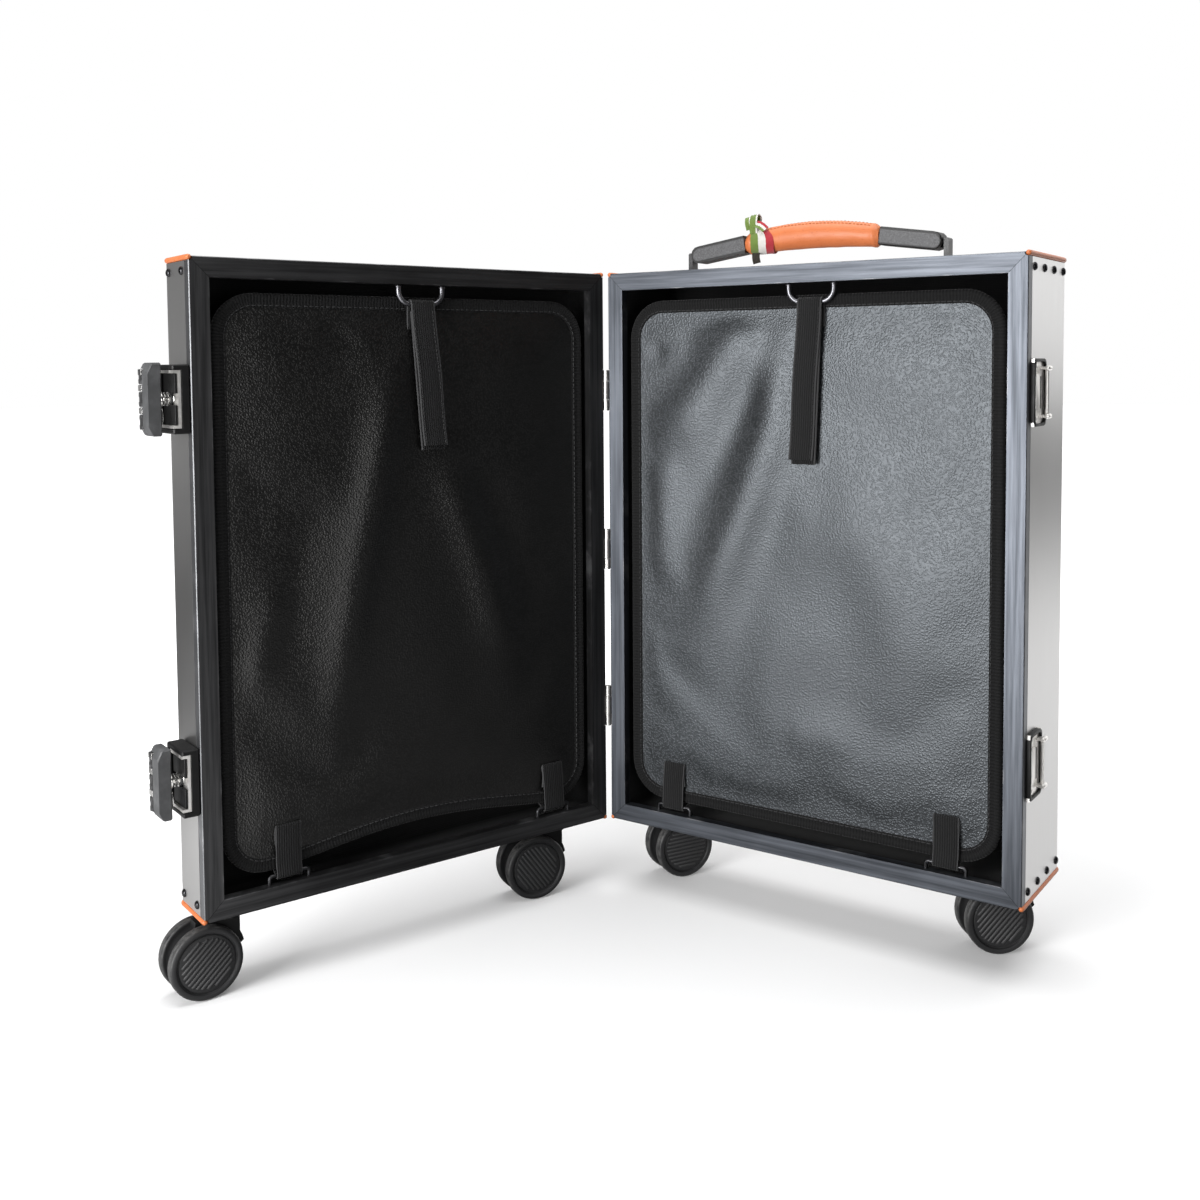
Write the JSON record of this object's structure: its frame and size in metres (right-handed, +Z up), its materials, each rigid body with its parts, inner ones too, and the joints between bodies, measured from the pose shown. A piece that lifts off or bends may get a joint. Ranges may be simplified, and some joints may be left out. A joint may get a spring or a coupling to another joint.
{
  "type": "suitcase",
  "caption": "Upright aluminium cabin suitcase standing open like a book on swivel casters, with padded dividers, turn latches and a leather carry handle.",
  "frame": {"origin": "On the floor, under the middle of the box round the whole open suitcase.", "axes": "+X runs along the base half's width from the hinge to its free side, +Y from the base half's mouth to its back, and +Z is up."},
  "size_m": [0.549, 0.477, 0.5958],
  "materials": {
    "panel_aluminium": "brushed, grey anodised",
    "frame_aluminium": "brushed, dark anodised",
    "orange_leather": "smooth, tan orange",
    "bright_steel": "polished",
    "black_plastic": "satin black",
    "dial_grey": "dark grey",
    "wheel_rubber": "satin black",
    "black_leather": "pebble grain, padded",
    "black_webbing": "woven tape",
    "ribbon_cloth": "green, white and red stripes"
  },
  "bodies": {
    "base": {"base_wrap": "panel_aluminium", "base_top_cap": "panel_aluminium", "base_bottom_cap": "panel_aluminium", "base_mouth_frame": "frame_aluminium", "base_top_piping": "orange_leather", "base_bottom_piping": "orange_leather", "base_strap_ring": "bright_steel", "hinge_upper_base_leaf": "bright_steel", "hinge_middle_base_leaf": "bright_steel", "hinge_lower_base_leaf": "bright_steel", "keeper_upper": "bright_steel", "keeper_lower": "bright_steel", "handle_lug_hinge_side": "bright_steel", "handle_lug_free_side": "bright_steel"},
    "lid": {"lid_wrap": "panel_aluminium", "lid_top_cap": "panel_aluminium", "lid_bottom_cap": "panel_aluminium", "lid_mouth_frame": "frame_aluminium", "lid_top_piping": "orange_leather", "lid_bottom_piping": "orange_leather", "lid_strap_ring": "bright_steel", "hinge_upper_lid_leaf": "bright_steel", "hinge_middle_lid_leaf": "bright_steel", "hinge_lower_lid_leaf": "bright_steel", "latch_upper_housing": "black_plastic", "latch_lower_housing": "black_plastic"},
    "handle": {"handle_core": "black_plastic", "handle_grip": "orange_leather", "handle_ribbon": "ribbon_cloth"},
    "base_divider_panel": {"base_divider": "black_leather", "base_divider_strap": "black_webbing", "base_loop_hinge_side": "black_webbing", "base_loop_free_side": "black_webbing"},
    "lid_divider_panel": {"lid_divider": "black_leather", "lid_divider_strap": "black_webbing", "lid_loop_hinge_side": "black_webbing", "lid_loop_free_side": "black_webbing"},
    "latch_upper_knob": {"latch_upper_knob": "black_plastic"},
    "latch_upper_claw": {"latch_upper_claw": "bright_steel"},
    "latch_upper_dial_1": {"latch_upper_dial_1": "dial_grey"},
    "latch_upper_dial_2": {"latch_upper_dial_2": "dial_grey"},
    "latch_upper_dial_3": {"latch_upper_dial_3": "dial_grey"},
    "latch_lower_knob": {"latch_lower_knob": "black_plastic"},
    "latch_lower_claw": {"latch_lower_claw": "bright_steel"},
    "latch_lower_dial_1": {"latch_lower_dial_1": "dial_grey"},
    "latch_lower_dial_2": {"latch_lower_dial_2": "dial_grey"},
    "latch_lower_dial_3": {"latch_lower_dial_3": "dial_grey"},
    "caster_base_hinge_side_fork": {"caster_base_hinge_side_fork": "black_plastic"},
    "caster_base_hinge_side_wheel_left": {"caster_base_hinge_side_wheel_left": "wheel_rubber"},
    "caster_base_hinge_side_wheel_right": {"caster_base_hinge_side_wheel_right": "wheel_rubber"},
    "caster_base_free_side_fork": {"caster_base_free_side_fork": "black_plastic"},
    "caster_base_free_side_wheel_left": {"caster_base_free_side_wheel_left": "wheel_rubber"},
    "caster_base_free_side_wheel_right": {"caster_base_free_side_wheel_right": "wheel_rubber"},
    "caster_lid_hinge_side_fork": {"caster_lid_hinge_side_fork": "black_plastic"},
    "caster_lid_hinge_side_wheel_left": {"caster_lid_hinge_side_wheel_left": "wheel_rubber"},
    "caster_lid_hinge_side_wheel_right": {"caster_lid_hinge_side_wheel_right": "wheel_rubber"},
    "caster_lid_free_side_fork": {"caster_lid_free_side_fork": "black_plastic"},
    "caster_lid_free_side_wheel_left": {"caster_lid_free_side_wheel_left": "wheel_rubber"},
    "caster_lid_free_side_wheel_right": {"caster_lid_free_side_wheel_right": "wheel_rubber"}
  },
  "joints": [
    {"name": "lid_hinge", "type": "hinge", "parent": "base", "child": "lid", "pos_m": [-0.10542, 0.13798, 0.309], "axis": [0, 0, -1], "range_deg": [-108.8, 71.2]},
    {"name": "base_divider_swing", "type": "hinge", "parent": "base", "child": "base_divider_panel", "pos_m": [0.08198, 0.14368, 0.0852], "axis": [1, 0, 0], "range_deg": [0, 85], "deforming": ["base_divider_strap"]},
    {"name": "lid_divider_swing", "type": "hinge", "parent": "lid", "child": "lid_divider_panel", "pos_m": [-0.17121, -0.03759, 0.0852], "axis": [0.3223, 0.9466, 0], "range_deg": [0, 85], "deforming": ["lid_divider_strap"]},
    {"name": "handle_lift", "type": "slide", "parent": "base", "child": "handle", "axis": [0, 0, 1], "range_m": [0, 0.004]},
    {"name": "latch_upper_turn", "type": "hinge", "parent": "lid", "child": "latch_upper_knob", "pos_m": [-0.24313, -0.20853, 0.4511], "axis": [-0.3223, -0.9466, 0], "range_deg": [0, 90]},
    {"name": "latch_upper_throw", "type": "slide", "parent": "lid", "child": "latch_upper_claw", "axis": [0.9466, -0.3223, 0], "range_m": [0, 0.012]},
    {"name": "latch_upper_dial_1_turn", "type": "hinge", "parent": "latch_upper_knob", "child": "latch_upper_dial_1", "pos_m": [-0.25772, -0.23029, 0.43462], "axis": [0, 0, 1], "continuous": true},
    {"name": "latch_upper_dial_2_turn", "type": "hinge", "parent": "latch_upper_knob", "child": "latch_upper_dial_2", "pos_m": [-0.25772, -0.23029, 0.4511], "axis": [0, 0, 1], "continuous": true},
    {"name": "latch_upper_dial_3_turn", "type": "hinge", "parent": "latch_upper_knob", "child": "latch_upper_dial_3", "pos_m": [-0.25772, -0.23029, 0.46758], "axis": [0, 0, 1], "continuous": true},
    {"name": "latch_lower_turn", "type": "hinge", "parent": "lid", "child": "latch_lower_knob", "pos_m": [-0.24313, -0.20853, 0.17048], "axis": [-0.3223, -0.9466, 0], "range_deg": [0, 90]},
    {"name": "latch_lower_throw", "type": "slide", "parent": "lid", "child": "latch_lower_claw", "axis": [0.9466, -0.3223, 0], "range_m": [0, 0.012]},
    {"name": "latch_lower_dial_1_turn", "type": "hinge", "parent": "latch_lower_knob", "child": "latch_lower_dial_1", "pos_m": [-0.25772, -0.23029, 0.15399], "axis": [0, 0, 1], "continuous": true},
    {"name": "latch_lower_dial_2_turn", "type": "hinge", "parent": "latch_lower_knob", "child": "latch_lower_dial_2", "pos_m": [-0.25772, -0.23029, 0.17048], "axis": [0, 0, 1], "continuous": true},
    {"name": "latch_lower_dial_3_turn", "type": "hinge", "parent": "latch_lower_knob", "child": "latch_lower_dial_3", "pos_m": [-0.25772, -0.23029, 0.18696], "axis": [0, 0, 1], "continuous": true},
    {"name": "caster_base_hinge_side_swivel", "type": "hinge", "parent": "base", "child": "caster_base_hinge_side_fork", "pos_m": [-0.06102, 0.22138, 0.064], "axis": [0, 0, 1], "continuous": true},
    {"name": "caster_base_hinge_side_wheel_left_spin", "type": "hinge", "parent": "caster_base_hinge_side_fork", "child": "caster_base_hinge_side_wheel_left", "pos_m": [-0.06659, 0.20046, 0.02776], "axis": [-0.8572, 0.515, 0], "continuous": true},
    {"name": "caster_base_hinge_side_wheel_right_spin", "type": "hinge", "parent": "caster_base_hinge_side_fork", "child": "caster_base_hinge_side_wheel_right", "pos_m": [-0.07688, 0.20664, 0.02776], "axis": [-0.8572, 0.515, 0], "continuous": true},
    {"name": "caster_base_free_side_swivel", "type": "hinge", "parent": "base", "child": "caster_base_free_side_fork", "pos_m": [0.23998, 0.22138, 0.064], "axis": [0, 0, 1], "continuous": true},
    {"name": "caster_base_free_side_wheel_left_spin", "type": "hinge", "parent": "caster_base_free_side_fork", "child": "caster_base_free_side_wheel_left", "pos_m": [0.22759, 0.20363, 0.02776], "axis": [-0.6293, 0.7771, 0], "continuous": true},
    {"name": "caster_base_free_side_wheel_right_spin", "type": "hinge", "parent": "caster_base_free_side_fork", "child": "caster_base_free_side_wheel_right", "pos_m": [0.22004, 0.21295, 0.02776], "axis": [-0.6293, 0.7771, 0], "continuous": true},
    {"name": "caster_lid_hinge_side_swivel", "type": "hinge", "parent": "lid", "child": "caster_lid_hinge_side_fork", "pos_m": [-0.14624, 0.10497, 0.064], "axis": [0, 0, 1], "continuous": true},
    {"name": "caster_lid_hinge_side_wheel_left_spin", "type": "hinge", "parent": "caster_lid_hinge_side_fork", "child": "caster_lid_hinge_side_wheel_left", "pos_m": [-0.15108, 0.08387, 0.02776], "axis": [-0.8746, 0.4848, 0], "continuous": true},
    {"name": "caster_lid_hinge_side_wheel_right_spin", "type": "hinge", "parent": "caster_lid_hinge_side_fork", "child": "caster_lid_hinge_side_wheel_right", "pos_m": [-0.16157, 0.08968, 0.02776], "axis": [-0.8746, 0.4848, 0], "continuous": true},
    {"name": "caster_lid_free_side_swivel", "type": "hinge", "parent": "lid", "child": "caster_lid_free_side_fork", "pos_m": [-0.24324, -0.17997, 0.064], "axis": [0, 0, 1], "continuous": true},
    {"name": "caster_lid_free_side_wheel_left_spin", "type": "hinge", "parent": "caster_lid_free_side_fork", "child": "caster_lid_free_side_wheel_left", "pos_m": [-0.24472, -0.20157, 0.02776], "axis": [-0.9397, 0.342, 0], "continuous": true},
    {"name": "caster_lid_free_side_wheel_right_spin", "type": "hinge", "parent": "caster_lid_free_side_fork", "child": "caster_lid_free_side_wheel_right", "pos_m": [-0.25599, -0.19747, 0.02776], "axis": [-0.9397, 0.342, 0], "continuous": true}
  ],
  "couplings": [
    {"joint": "latch_upper_throw", "follows": "latch_upper_turn", "m_per_rad": 0.00763},
    {"joint": "latch_lower_throw", "follows": "latch_lower_turn", "m_per_rad": 0.00763}
  ]
}
